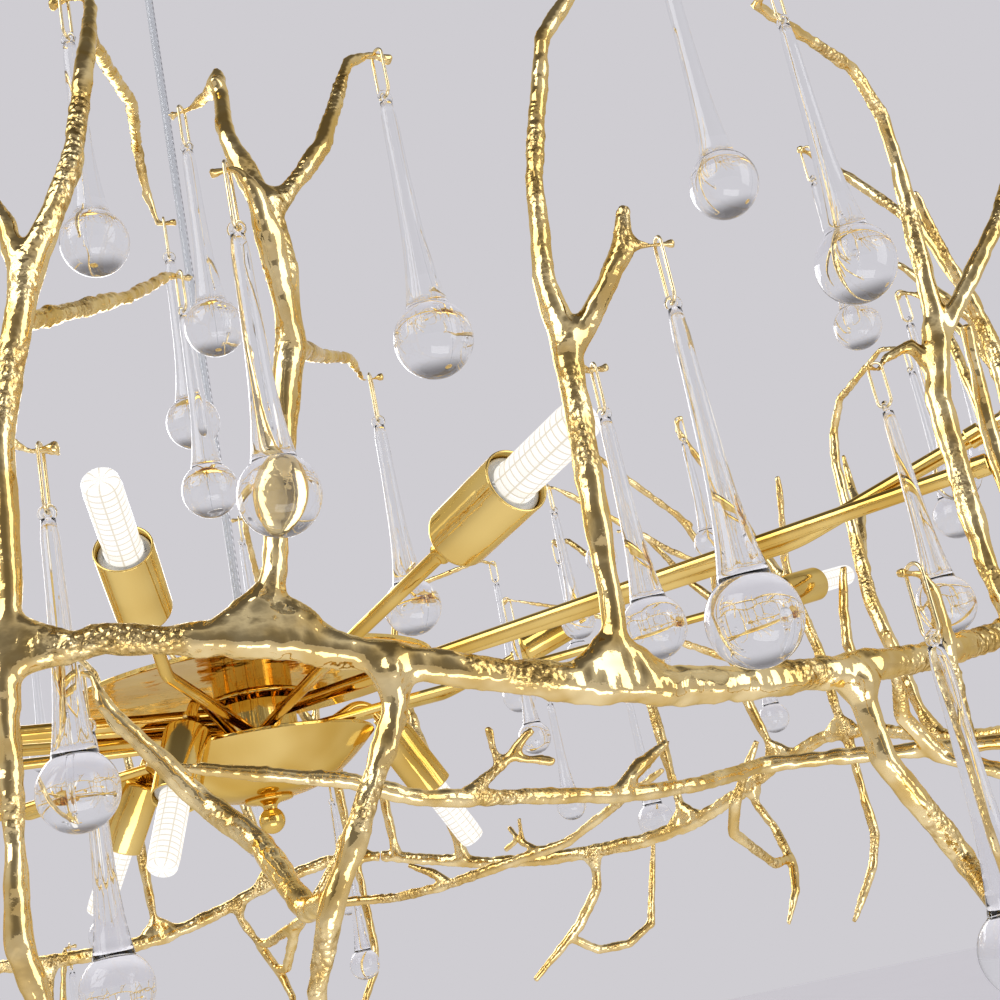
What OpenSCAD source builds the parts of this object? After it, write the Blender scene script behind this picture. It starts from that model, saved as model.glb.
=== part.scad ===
// Round branch chandelier: a cast branch cage on tube arms, with capsule lamps
// and hanging glass drops. Heights of the cage and hub are written from the middle
// level of the branch ring, angles in degrees from the front, turning to the right.

/* [Suspension] */
// Height from the ceiling down to the middle level of the branch ring
ring_drop = 800; // [700:10:1400]
// Diameter of the canopy on the ceiling
canopy_d = 120; // [110:1:160]
// Height of the canopy
canopy_h = 30; // [24:1:45]
// Wall of the canopy
canopy_wall = 1.2; // [0.8:0.1:2]
// Diameter of the suspension wire
wire_d = 2; // [1.5:0.1:3]
// Diameter of the clear supply cord
cord_d = 4.5; // [3.5:0.1:5]
// Spacing of the two fixing slots in the ceiling crossbar
slot_spacing = 60; // [50:1:80]
// Diameter of the screws through the fixing slots
fixing_d = 4.5; // [4:0.1:5.5]
// Travel along each fixing slot
slot_travel = 8; // [4:1:12]

/* [Branch cage] */
// Radius of the branch ring
ring_r = 450; // [420:5:520]
// Mean thickness of the ring bar
ring_d = 12; // [10:0.1:13.5]
// Height of the long wave of the ring
wave_h = 20; // [14:0.5:24]
// Height of the short wave on top of it
ripple_h = 3.8; // [0:0.1:5]
// Thickness of posts and twigs, as a share of the drawn thickness
branch_gauge = 1; // [0.92:0.01:1.06]

/* [Hub] */
// Diameter of the upper plate
upper_plate_d = 216; // [180:2:240]
// Diameter of the lower dish
dish_d = 132; // [124:1:150]
// Depth of the lower dish
dish_h = 30; // [26:1:34]
// Wall of plate and dish
plate_wall = 2; // [1.5:0.1:3]
// Diameter of the hub column
column_d = 46; // [42:1:56]
// Diameter of the finial ball
finial_d = 15; // [12:0.5:20]
// Diameter of the long cage arms
cage_arm_d = 8; // [7:0.1:9]

/* [Lamps] */
// Diameter of the lamp arms
lamp_arm_d = 6; // [5:0.1:7]
// Bend radius of the lamp arms
lamp_bend_r = 26; // [20:1:34]
// Outer diameter of a lamp sleeve
sleeve_d = 25; // [23:0.5:27]
// Length of a lamp sleeve from shoulder to mouth
sleeve_l = 44; // [40:1:50]
// Wall of a lamp sleeve
sleeve_wall = 1; // [0.8:0.1:1.4]
// Diameter of a capsule bulb
bulb_d = 16.5; // [15:0.5:17.5]
// How far a bulb stands out of its sleeve
bulb_reach = 42; // [36:1:50]

/* [Glass drops] */
// Ball diameter of the small drops
small_ball = 24; // [22:0.5:25]
// Ball diameter of the middle drops
middle_ball = 27; // [25:0.5:28]
// Ball diameter of the large drops
large_ball = 30; // [28:0.5:31]
// Height of a drop's ball centre below its eye, in ball diameters
stem_ratio = 3.52; // [3.3:0.02:3.6]
// Diameter of the link wire
link_wire = 1.2; // [1:0.1:1.4]
// Inner width of a link
link_w = 5; // [4.8:0.1:5.6]

/* [Hidden] */
panels = 6;
panel_turn = 360 / panels;
panel_numbers = [1:panels];
// The panels that carry single drops
facing_panels = [1, 1 + panels / 2];
// Every other panel has twigs that reach inward with a drop; those between take the
// long arms and have a bough that curls inward below
function has_inner_twigs(k) = k % 2 == 1;
drop_kinds = ["crown_drops", "post_drops", "fork_drops", "top_drops", "large_drops"];
$fn = 48;

gold = "#d9b65a";
pale_gold = "#e8d08a";
clear = "#dfe8ee";
silver = "#b9bcc0";
white = "#f4f2ea";

running_gap = 0.3;
branch_sides = 5;
twig_sides = 4;
ring_sides = 6;
ring_step = 6;

// Places and directions

function unit(v) = v / norm(v);
function out_dir(az) = [sin(az), -cos(az), 0];
function level(h) = h - ring_drop;
// A point of the cage: angle, height and distance outside the ring's centre line
function at(az, h, off) = (ring_r + off) * out_dir(az) + [0, 0, level(h)];
function wave(az) =
    wave_h * cos(panels * (az - 4.4)) + ripple_h * cos(2 * panels * (az - 5.8));
function ring_point(az) = at(az, wave(az), 0);
function ring_size(az) = ring_d * (1 - 0.1 * cos(panels * az));

// Moves what is drawn along +Z from the origin to a place, along a direction

module toward(place, dir) {
    side = norm(cross([0, 0, 1], dir)) < 0.001 ? [1, 0, 0] : unit(cross([0, 0, 1], dir));
    up = cross(dir, side);
    multmatrix([
        [side.x, up.x, dir.x, place.x],
        [side.y, up.y, dir.y, place.y],
        [side.z, up.z, dir.z, place.z]
    ])
        children();
}

// Branches: a tube of even sides swept along a route of [x, y, z, thickness]

function spot(q) = [q[0], q[1], q[2]];
function heading(r, i) =
    let (last = len(r) - 1)
    i == 0 ? unit(spot(r[1]) - spot(r[0])) :
    i == last ? unit(spot(r[last]) - spot(r[last - 1])) :
    unit(unit(spot(r[i + 1]) - spot(r[i])) + unit(spot(r[i]) - spot(r[i - 1])));
function squared(v, dir) = unit(v - (v * dir) * dir);
function first_side(dir) = abs(dir.z) > 0.9 ? squared([1, 0, 0], dir) : squared([0, 0, 1], dir);
function sides_along(dirs, i, found) =
    i == len(dirs) ? found :
    sides_along(dirs, i + 1, concat(found, [squared(found[i - 1], dirs[i])]));

module limb(route, sides = branch_sides, end_dirs = []) {
    last = len(route) - 1;
    dirs = [
        for (i = [0:last])
            len(end_dirs) == 2 && (i == 0 || i == last) ? end_dirs[i / last] : heading(route, i)
    ];
    side = sides_along(dirs, 1, [first_side(dirs[0])]);
    points = [
        for (i = [0:last]) for (j = [0:sides - 1])
            let (a = 360 * j / sides, across = cross(dirs[i], side[i]))
            spot(route[i]) + route[i][3] / 2 * (cos(a) * side[i] + sin(a) * across)
    ];
    walls = [
        for (i = [0:last - 1]) for (j = [0:sides - 1])
            let (a = i * sides + j, b = i * sides + (j + 1) % sides)
            each [[a, a + sides, b], [b, a + sides, b + sides]]
    ];
    start = [for (j = [0:sides - 1]) j];
    end = [for (j = [0:sides - 1]) last * sides + sides - 1 - j];
    polyhedron(points, concat([start], walls, [end]));
}

// A branch drawn as [angle, height, outside, thickness], with an end in plain places
function cage_route(list) =
    [for (q = list) concat(at(q[0], q[1], q[2]), q[3] * branch_gauge)];
module branch(list, end = []) {
    limb(concat(cage_route(list), end));
}
module twig(list, end = []) {
    limb(concat(cage_route(list), end), twig_sides);
}

// A swelling where branches meet or end
module knot(az, h, off, size, tall) {
    hull() {
        translate(at(az, h, off))
            sphere(d = 1.08 * size * branch_gauge, $fn = 5);
        translate(at(az, h + tall, off))
            sphere(d = 0.86 * size * branch_gauge, $fn = 5);
    }
}

// Hanging places of one panel: ball, angle, outside, height of the link's lower bend,
// length of the link, and the side from which its twig comes: 1 right, -1 left
crown_a = [small_ball, 6.6, -59, 264, 17, 1];
crown_b = [small_ball, 12.3, -139, 264, 17, 1];
post_a = [small_ball, 13.0, 17, 136, 20, 1];
post_b = [small_ball, 25.9, -175, 147, 20, -1];
fork_a = [middle_ball, 21.6, -31, 212, 17, -1];
fork_b = [small_ball, 10.0, -187, 212, 17, -1];
top_a = [small_ball, 34.0, 19, 236, 17, -1];
top_b = [large_ball, 41.7, 16, 236, 17, -1];
large_a = [large_ball, 29.6, 20, 104, 21, -1];
large_b = [small_ball, 33.4, -68, 104, 18, -1];
inner_a = [small_ball, 9.0, -218, 256, 18, -1];
side_a = [small_ball, 50.2, -24, 98, 17, 1];
outer_a = [small_ball, 32.1, 66, -22, 19, 1];
low_a = [small_ball, 2.5, -84, 17, 18, 1];
rim_a = [small_ball, 4.1, -22, 71, 20, -1];

function ball(place) = place[0];
function pivot(place) = at(place[1], place[3], place[2]);
function neck(place) = pivot(place) + [0, 0, place[4]];
// The swing axis of two drops that share one, and of a drop that has its own
function axis_of(a, b) = unit([pivot(b).x - pivot(a).x, pivot(b).y - pivot(a).y, 0]);
function own_axis(a) = out_dir(a[1]);
// The twig's direction through the link
function twig_dir(place, axis) =
    let (turned = [-axis.y, axis.x, 0], right = [cos(place[1]), sin(place[1]), 0])
    abs(turned * right) > 0.35 ? -place[5] * sign(turned * right) * turned :
    -place[5] * sign(turned * out_dir(place[1])) * turned;

// The end of every twig that carries a drop: a thin neck for the link, then a bud
neck_d = 3.4;
bud_d = 6.2;
function twig_end(place, axis) =
    let (n = neck(place), d = twig_dir(place, axis))
    [
        concat(n - 3 * d, neck_d),
        concat(n + 2 * d, neck_d),
        concat(n + 6 * d, bud_d)
    ];

crown_axis = axis_of(crown_a, crown_b);
post_axis = axis_of(post_a, post_b);
fork_axis = axis_of(fork_a, fork_b);
top_axis = axis_of(top_a, top_b);
large_axis = axis_of(large_a, large_b);

// Ceiling fixing

crossbar_l = slot_spacing + 32;
crossbar_w = 20;
crossbar_t = 3;
canopy_screw_y = 34;
canopy_screw_d = 4;
grip_y = 5;
cord_y = -5;

module ceiling_crossbar() {
    color(silver)
        difference() {
            union() {
                translate([-crossbar_l / 2, -crossbar_w / 2, -crossbar_t])
                    cube([crossbar_l, crossbar_w, crossbar_t]);
                translate([-crossbar_w / 2, -canopy_screw_y - 8, -crossbar_t])
                    cube([crossbar_w, 2 * canopy_screw_y + 16, crossbar_t]);
            }
            for (x = [-slot_spacing / 2, slot_spacing / 2]) {
                for (end = [-slot_travel / 2, slot_travel / 2])
                    translate([x + end, 0, -crossbar_t - 1])
                        cylinder(d = fixing_d, h = crossbar_t + 2);
                translate([x - slot_travel / 2, -fixing_d / 2, -crossbar_t - 1])
                    cube([slot_travel, fixing_d, crossbar_t + 2]);
            }
            for (y = [-canopy_screw_y, canopy_screw_y])
                translate([0, y, -crossbar_t - 1])
                    cylinder(d = canopy_screw_d + 2 * running_gap, h = crossbar_t + 2);
        }
}

canopy_corner = 5;
grip_d = 7;
grip_hole = grip_d + 2 * running_gap;

module canopy() {
    r = canopy_d / 2;
    color(gold)
        difference() {
            rotate_extrude()
                difference() {
                    union() {
                        translate([0, -canopy_h + canopy_corner])
                            square([r, canopy_h - canopy_corner]);
                        translate([0, -canopy_h])
                            square([r - canopy_corner, canopy_corner]);
                        translate([r - canopy_corner, -canopy_h + canopy_corner])
                            intersection() {
                                circle(r = canopy_corner);
                                translate([0, -canopy_corner])
                                    square(canopy_corner);
                            }
                    }
                    translate([0, -canopy_h + canopy_wall])
                        square([r - canopy_wall - 0.5, canopy_h]);
                }
            for (y = [grip_y, cord_y])
                translate([0, y, -canopy_h - 1])
                    cylinder(d = grip_hole, h = canopy_wall + 2);
            for (y = [-canopy_screw_y, canopy_screw_y])
                translate([0, y, -canopy_h - 1])
                    cylinder(d = canopy_screw_d + 2 * running_gap, h = canopy_wall + 2);
        }
}

module canopy_screws() {
    nut_h = 4;
    color(gold)
        for (y = [-canopy_screw_y, canopy_screw_y])
            translate([0, y, 0]) {
                translate([0, 0, -canopy_h - nut_h])
                    cylinder(d = 2.2 * canopy_screw_d, h = nut_h);
                translate([0, 0, -canopy_h])
                    cylinder(d = canopy_screw_d, h = canopy_h);
                translate([0, 0, -canopy_h - nut_h])
                    sphere(d = 1.6 * canopy_screw_d);
            }
}

// The wire and the cord run side by side from the canopy to the top of the hub
grip_l = 24;
hub_top = 100;
plate_top = level(hub_top);
boss_d = 26;
boss_h = 12;
boss_top = plate_top + boss_h;

module suspension_wire() {
    color(silver)
        translate([0, grip_y, boss_top])
            cylinder(d = wire_d, h = -canopy_h / 2 - boss_top);
}

module supply_cord() {
    color(clear)
        translate([0, cord_y, boss_top])
            cylinder(d = cord_d, h = -canopy_h / 2 - boss_top);
}

module grip(bore) {
    rotate_extrude()
        polygon([
            [bore / 2 + 0.1, 0], [grip_d / 2 + 0.6, 0], [grip_d / 2 + 0.6, 5],
            [grip_d / 2, 6], [grip_d / 2, grip_l - 6], [bore / 2 + 0.7, grip_l], [bore / 2 + 0.1, grip_l]
        ]);
}

module cord_grips() {
    color(gold)
        for (end = [[grip_y, wire_d], [cord_y, cord_d]]) {
            translate([0, end[0], boss_top])
                grip(end[1]);
            translate([0, end[0], -canopy_h])
                mirror([0, 0, 1])
                    grip(end[1]);
        }
}

// Hub

dish_top = level(59.2);
dish_base_r = 15;
dish_bottom = dish_top - dish_h;
column_top = plate_top - 5;
column_bottom = dish_bottom + plate_wall;
plate_drop = 5;

module hub_upper_plate() {
    r = upper_plate_d / 2;
    color(gold)
        translate([0, 0, plate_top]) {
            rotate_extrude()
                polygon([
                    [0, -plate_drop], [r - 12, -plate_drop], [r - 3, -plate_drop - 1.5], [r, -plate_drop - 1.5],
                    [r, -plate_drop + plate_wall - 1], [r - 10, -plate_drop + plate_wall + 0.4], [boss_d / 2 + 14, 0], [0, 0]
                ]);
            difference() {
                cylinder(d1 = boss_d + 4, d2 = boss_d, h = boss_h);
                for (y = [grip_y, cord_y])
                    translate([0, y, boss_h - 4])
                        cylinder(d = 2, h = 3);
            }
        }
}

module hub_column() {
    rib_d = column_d + 14;
    h = column_top - column_bottom;
    color(gold)
        rotate_extrude()
            translate([0, column_bottom])
                polygon([
                    [0, 0], [dish_base_r - 1, 0], [dish_base_r - 1, 9], [column_d / 2, 14],
                    [column_d / 2, h - 11.5], [rib_d / 2, h - 10], [rib_d / 2, h - 6.5], [column_d / 2, h - 5],
                    [column_d / 2, h], [0, h]
                ]);
}

module hub_lower_dish() {
    r = dish_d / 2;
    rise = dish_h - plate_wall;
    bow = 7;
    steps = 7;
    outer = [
        for (i = [0:steps])
            let (t = i / steps)
            [
                dish_base_r + (r - dish_base_r) * t,
                rise * t * t * 0.55 + rise * t * 0.45 - bow * sin(180 * t) * 0.4
            ]
    ];
    color(gold)
        translate([0, 0, dish_bottom])
            rotate_extrude()
                polygon(concat(
                    [[0, 0]], outer, [[r, rise + plate_wall], [r - plate_wall, rise + plate_wall]],
                    [for (i = [steps - 1:-1:0]) outer[i] + [-0.6, plate_wall]],
                    [[0, plate_wall]]
                ));
}

module finial() {
    washer_r = 14;
    washer_h = 2.4;
    stalk_r = 4;
    ball_low = 5;
    color(gold)
        translate([0, 0, dish_bottom]) {
            rotate_extrude()
                polygon([
                    [0, 0], [washer_r, 0], [washer_r - 1, -washer_h], [stalk_r + 2, -washer_h - 1],
                    [stalk_r, -washer_h - ball_low], [0, -washer_h - ball_low]
                ]);
            translate([0, 0, -washer_h - ball_low - finial_d / 2 + 2])
                sphere(d = finial_d);
        }
}

// Long arms, two side by side to every other panel, from the column to cast bosses.
// One runs straight, the other bends up on its way out
arm_panels = [2:2:panels];
arm_az = 3.5;
boss_inside = 16;
arm_side = cage_arm_d / 2 + 1;
arm_root_r = column_d / 2 - 3;
arm_bend_r = 90;
arm_corner = [335, 80];
low_arm = [76, 85];
high_arm = [79, 103];
function beside(az, r, h, side) = r * out_dir(az) + side * [cos(az), sin(az), 0] + [0, 0, level(h)];
function arm_start(arm, side) = beside(arm_az, arm_root_r, arm[0], side);
function arm_turn(arm, side) = beside(arm_az, ring_r * arm_corner[0] / 450, arm_corner[1], side);
function arm_end(arm, side) = beside(arm_az, ring_r - boss_inside, arm[1], side);
high_dir = unit(arm_end(high_arm, arm_side) - arm_turn(high_arm, arm_side));
low_dir = unit(arm_end(low_arm, -arm_side) - arm_start(low_arm, -arm_side));

module arm_socket(place, dir) {
    toward(place - 7 * dir, dir)
        cylinder(d = cage_arm_d + 2.4, h = 7);
}

module cage_arms() {
    straight = arm_end(low_arm, -arm_side) - arm_start(low_arm, -arm_side);
    corner = arm_turn(high_arm, arm_side);
    color(gold)
        for (k = arm_panels)
            rotate([0, 0, panel_turn * (k - 1)])
                difference() {
                    union() {
                        toward(arm_start(low_arm, -arm_side), low_dir)
                            cylinder(d = cage_arm_d, h = norm(straight));
                        arm_socket(arm_end(low_arm, -arm_side), low_dir);
                        bent_tube(
                            arm_start(high_arm, arm_side), corner, arm_end(high_arm, arm_side),
                            cage_arm_d, arm_bend_r
                        );
                        arm_socket(arm_end(high_arm, arm_side), high_dir);
                    }
                    column_space();
                }
}

// The space of the hub column, which every arm butts against
module column_space() {
    translate([0, 0, level(0)])
        cylinder(d = column_d, h = 140);
}

// Lamps: angle and reach of the mouth, its height, the angle and rise of its axis,
// and the straight length of tube behind its neck
upper_lamps = [
    [2.1, 275, 105, 7, 24, 36],
    [25.7, 397, 72.6, 37.9, 9, 78],
    [121, 446, 132, 130, 10, 62],
    [149.6, 397, 164, 85, 18, 62],
    [232, 330, 105, 230, 22, 40],
    [262, 410, 74, 270, 12, 70],
    [292, 300, 105, 290, 22, 40],
    [324, 400, 72, 312, 10, 70]
];
lower_lamps = [
    [128, 112, 24, 128, -57, 15],
    [246, 112, 24, 246, -57, 15],
    [347, 112, 24, 347, -57, 15]
];
lamps = concat(upper_lamps, lower_lamps);

neck_l = 11;
short_bend_r = 14;
socket_inset = 3;
function aim(lamp) = out_dir(lamp[3]) * cos(lamp[4]) + [0, 0, sin(lamp[4])];
function mouth(lamp) =
    let (share = lamp[4] < 0 ? lamp[1] : ring_r * lamp[1] / 450)
    share * out_dir(lamp[0]) + [0, 0, level(lamp[2])];
function shoulder(lamp) = mouth(lamp) - sleeve_l * aim(lamp);
function bend_point(lamp) = shoulder(lamp) - (lamp[5] + neck_l) * aim(lamp);
function bend_az(lamp) = let (b = bend_point(lamp)) atan2(b.x, -b.y);
function root_level(lamp) = lamp[4] < 0 ? 57 : 66;
function lamp_root(lamp) = arm_root_r * out_dir(bend_az(lamp)) + [0, 0, level(root_level(lamp))];

// A tube from one place to another with one round bend between, a hair thinner in
// its bend, where the straight ends sleeve it
bend_lap = 0.5;
bend_thinning = 0.04;
module bent_tube(from, corner, to, d, bend_r) {
    into = unit(corner - from);
    off = unit(to - corner);
    inward = squared(off, into);
    axis = cross(into, inward);
    turn = acos(into * off);
    reach = bend_r * tan(turn / 2);
    multmatrix([
        [into.x, inward.x, axis.x, from.x],
        [into.y, inward.y, axis.y, from.y],
        [into.z, inward.z, axis.z, from.z]
    ]) {
        rotate([0, 90, 0])
            cylinder(d = d, h = norm(corner - from) - reach + bend_lap);
        translate([norm(corner - from) - reach, bend_r, 0]) {
            rotate([0, 0, -90])
                rotate_extrude(angle = turn)
                    translate([bend_r, 0])
                        circle(d = d - bend_thinning);
            rotate([0, 0, turn])
                translate([-bend_lap, -bend_r, 0])
                    rotate([0, 90, 0])
                        cylinder(d = d, h = norm(to - corner) - reach + bend_lap);
        }
    }
}

module lamp_arms() {
    color(gold)
        for (lamp = lamps)
            difference() {
                bent_tube(
                    lamp_root(lamp), bend_point(lamp), shoulder(lamp) - neck_l * aim(lamp),
                    lamp_arm_d, lamp[4] < 0 ? short_bend_r : lamp_bend_r
                );
                column_space();
            }
}

module lamp_sleeves() {
    r = sleeve_d / 2;
    round_r = 4;
    foot_r = lamp_arm_d / 2 + 1.4;
    floor_t = 2;
    color(gold)
        for (lamp = lamps)
            toward(shoulder(lamp), aim(lamp))
                difference() {
                    rotate_extrude()
                        union() {
                            polygon([
                                [0, -neck_l], [foot_r, -neck_l], [foot_r, -neck_l + 4],
                                [foot_r + 3, -1], [foot_r + 4.5, 0], [foot_r + 4.5, floor_t], [0, floor_t]
                            ]);
                            difference() {
                                union() {
                                    translate([0, round_r])
                                        square([r, sleeve_l - round_r]);
                                    square([r - round_r, round_r]);
                                    translate([r - round_r, round_r])
                                        intersection() {
                                            circle(r = round_r);
                                            translate([0, -round_r])
                                                square(round_r);
                                        }
                                }
                                translate([0, floor_t])
                                    square([r - sleeve_wall, sleeve_l]);
                            }
                        }
                    translate([0, 0, -neck_l / 2])
                        rotate([-90, 0, 0])
                            cylinder(d = grub_d, h = sleeve_d);
                }
}

grub_d = 2.6;

module neck_screws() {
    foot_r = lamp_arm_d / 2 + 1.4;
    color(silver)
        for (lamp = lamps)
            toward(shoulder(lamp), aim(lamp))
                translate([0, 1, -neck_l / 2])
                    rotate([-90, 0, 0])
                        cylinder(d = grub_d - 0.1, h = foot_r + 1.4);
}

socket_h = 16;
socket_d = sleeve_d - 2 * sleeve_wall - 2 * running_gap;
socket_face = sleeve_l - socket_inset;
screw_x = 7.4;
socket_screw_d = 3.2;
seat_d = bulb_d - 5;
seat_deep = 6;

module lamp_sockets() {
    color(white)
        for (lamp = lamps)
            toward(shoulder(lamp), aim(lamp))
                difference() {
                    union() {
                        translate([0, 0, socket_face - socket_h])
                            cylinder(d = socket_d, h = socket_h);
                        translate([0, 0, 2])
                            cylinder(d = 10, h = socket_face - socket_h - 2);
                    }
                    translate([0, 0, socket_face - seat_deep])
                        cylinder(d = seat_d, h = seat_deep + 1);
                    for (x = [-screw_x, screw_x])
                        translate([x, 0, socket_face - 3])
                            cylinder(d = socket_screw_d, h = 4);
                }
}

module socket_screws() {
    color(silver)
        for (lamp = lamps)
            toward(shoulder(lamp), aim(lamp))
                for (x = [-screw_x, screw_x])
                    translate([x, 0, socket_face - 3])
                        difference() {
                            cylinder(d = socket_screw_d - 0.2, h = 3);
                            translate([-0.3, -2, 2.4])
                                cube([0.6, 4, 2]);
                        }
}

module bulbs() {
    r = bulb_d / 2;
    crown = 2.5;
    plug_r = seat_d / 2 - running_gap;
    foot = socket_face + running_gap;
    tip = sleeve_l + bulb_reach;
    color(white)
        for (lamp = lamps)
            toward(shoulder(lamp), aim(lamp))
                rotate_extrude()
                    union() {
                        translate([0, foot])
                            square([r, tip - crown - foot]);
                        translate([0, tip - crown])
                            square([r - crown, crown]);
                        translate([r - crown, tip - crown])
                            intersection() {
                                circle(r = crown);
                                square(crown);
                            }
                        translate([0, socket_face - seat_deep + running_gap])
                            square([plug_r, seat_deep]);
                    }
}

// Cast cage panel, from one seam of the ring to the next

// The seams are cut square to the ring, where neighbouring panels meet face to face
function ring_tangent(az) = unit(ring_point(az + 1) - ring_point(az - 1));
module ring_bar() {
    steps = round(panel_turn / ring_step);
    route = [for (i = [0:steps]) let (az = i * panel_turn / steps) concat(ring_point(az), ring_size(az))];
    limb(route, ring_sides, [ring_tangent(0), ring_tangent(panel_turn)]);
}

// Flared foot that joins a post to the ring bar
module foot(az, post_h, off, size) {
    hull() {
        for (side = [-2.1, 2.1])
            translate(at(az + side, wave(az + side), 0))
                sphere(d = 0.84 * ring_size(az), $fn = 5);
        translate(at(az, post_h, off))
            sphere(d = size * branch_gauge, $fn = 5);
    }
}

module left_post() {
    foot(3, 34, 0, 7.5);
    branch([
        [3.1, 30, 0, 8], [3.4, 88, 0, 9], [4.9, 137, 0, 10], [7.1, 176, -4, 8],
        [8.0, 222, -16, 7], [8.2, 262, -42, 6], [7.9, 277, -54, 5.6]
    ], twig_end(crown_a, crown_axis));
    twig([[4.8, 138, 0, 8], [4.4, 158, -2, 8], [1.9, 205, -8, 6], [1.4, 220, -9, 5]]);
    knot(4.9, 137, 0, 11, 4);
}

module star_post() {
    foot(12.2, 30, -2, 8);
    branch([
        [12.4, 30, -2, 8.6], [13.2, 60, -6, 8.8], [14.5, 106, 0, 10], [14.8, 130, 0, 8.6], [14.5, 150, 0, 9.6],
        [13.4, 182, -6, 7.2], [13.8, 226, -34, 5]
    ]);
    twig([[14.6, 104, 2, 7], [14.2, 134, 12, 10.4], [13.9, 148, 16, 7]], twig_end(post_a, post_axis));
    twig([[14.9, 152, 0, 8], [17.2, 175, -4, 7.4], [19.7, 220, -22, 6]], twig_end(fork_a, fork_axis));
    knot(14.5, 152, 0, 12.5, 3);
}

module fork_post() {
    foot(24.9, 2, 0, 9);
    branch([
        [25.1, 0, 0, 9], [25.8, 100, 0, 10.6], [25.5, 122, 0, 8.6], [26.1, 160, 0, 7.2],
        [28.2, 218, 0, 6.4], [31.2, 247, 0, 6.2], [33.4, 253, 6, 5.4]
    ], twig_end(top_a, top_axis));
    twig([[26.1, 97, 1, 9], [28.2, 124, 15, 9], [28.5, 140, 19, 6]]);
    twig([[28.3, 127, 17, 6]], twig_end(large_a, large_axis));
    knot(25.8, 98, 1, 12, 7);
}

module twin_post() {
    branch([
        [50.8, 2, -1, 14], [51.1, 22, -6, 10], [52.9, 100, -10, 11.6], [53.8, 128, -4, 10.6], [54.1, 206, 0, 7.6],
        [53.4, 230, 2, 7], [51.2, 248, 2, 6.6], [42.6, 256, 2, 5.4]
    ], twig_end(top_b, top_axis));
    branch([[54.0, 126, -4, 9], [56.8, 174, 28, 8], [58.4, 200, 38, 7.2], [58.8, 228, 42, 4]]);
    knot(53.6, 124, -5, 12.5, 8);
}

module seam_post() {
    branch([[58.2, 14, 0, 13], [58.3, 32, -3, 9], [58.5, 80, -6, 9], [58.1, 104, -4, 7.6], [57.2, 136, 1, 6]]);
}

// Cast boss on a post, that the end of a long arm butts against squarely
module arm_boss(face, dir, root) {
    limb([
        concat(at(root[0], root[1], root[2]), 7),
        concat(face + 8 * dir, 9),
        concat(face, cage_arm_d + 2.4)
    ], ring_sides);
}

module left_down_branch() {
    branch([
        [2.8, 20, 0, 11], [2.6, 4, 0, 9.2], [2.2, -54, -3, 8], [2.6, -74, -9, 7.4], [5.0, -109, -24, 5]
    ]);
}

module middle_down_branch() {
    branch([
        [16.1, 2, 0, 12], [16.0, -11, 0, 9], [14.4, -34, 0, 9.2], [12.6, -62, -8, 8], [11.8, -80, -20, 7.4],
        [12.0, -102, -36, 5]
    ]);
    branch([
        [13.0, -56, -6, 7], [12.0, -58, -34, 8], [10.4, -32, -82, 9.6], [7.6, -13, -91, 9.4], [3.2, 25, -82, 5]
    ]);
    knot(16.1, 0, 0, 16, 4);
}

module right_down_branch() {
    branch([
        [36.4, -18, 0, 13], [36.4, -32, 0, 9], [36.7, -46, 0, 9.6], [39.5, -72, -2, 9.4], [45.0, -107, -16, 5]
    ]);
    branch([
        [40.6, -80, -4, 8], [38.6, -94, 14, 8], [36.2, -94, 34, 8], [34.2, -82, 48, 8], [32.8, -13, 65, 5]
    ]);
    knot(36.4, -20, 0, 17, 3);
}

// Long bough that curls inward under the cage
module inner_bough() {
    branch([
        [14.4, -32, -2, 8], [13.6, -35, -28, 9], [9.0, -25, -112, 8.4], [4.4, -20, -158, 8.4],
        [-5.8, -26, -169, 8], [-14, -26, -180, 8.2], [-36.4, -16, -177, 8], [-42.4, -5, -172, 7.6],
        [-57.2, 14, -170, 5]
    ]);
    twig([[-15.6, -25, -181, 6.6], [-12.6, -15, -177, 8.6], [-8.6, -5, -172, 5]]);
    twig([[-32.0, -17, -182, 6.4], [-28.4, -8, -178, 5.8], [-25.7, 5, -168, 4.6]]);
    twig([[-28.6, -7, -178, 5.2], [-28.9, 10, -178, 5]]);
    twig([[-27.6, -5, -175, 4.8], [-24.2, -10, -167, 5]]);
}

// Twigs that reach inward from the posts and carry the inner drops
module inner_twigs() {
    twig([[4.5, 124, -1, 8], [7.3, 176, -96, 6.2], [9.0, 222, -172, 5.6]], twig_end(fork_b, fork_axis));
    twig([[14.8, 104, -2, 8], [17.6, 136, -80, 6.4], [21.4, 156, -128, 5.2]], twig_end(post_b, post_axis));
    twig([[26.0, 97, -1, 8], [30.0, 117, -52, 6], [32.0, 122, -64, 5.4]], twig_end(large_b, large_axis));
    twig([[13.5, 212, -20, 6.8], [14.1, 262, -98, 6.4], [13.8, 280, -130, 5.4]], twig_end(crown_b, crown_axis));
}

// Twigs that carry a drop with an axis of its own
module single_twigs() {
    twig([
        [8.1, 240, -26, 6.5], [8.6, 288, -140, 6.4], [7.6, 302, -196, 6.2], [7.6, 288, -214, 5.4]
    ], twig_end(inner_a, own_axis(inner_a)));
    twig([[3.2, 86, 0, 7], [2.6, 97, -14, 6]], twig_end(rim_a, own_axis(rim_a)));
    twig([[53.1, 112, -9, 8], [52.9, 126, -14, 7.2], [51.5, 121, -23, 5.4]], twig_end(side_a, own_axis(side_a)));
    twig([[33.0, -24, 63, 7], [32.7, -9, 66, 6]], twig_end(outer_a, own_axis(outer_a)));
    twig([[4.3, 14, -85, 7.4], [3.4, 25, -83, 6.4]], twig_end(low_a, own_axis(low_a)));
}

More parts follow.
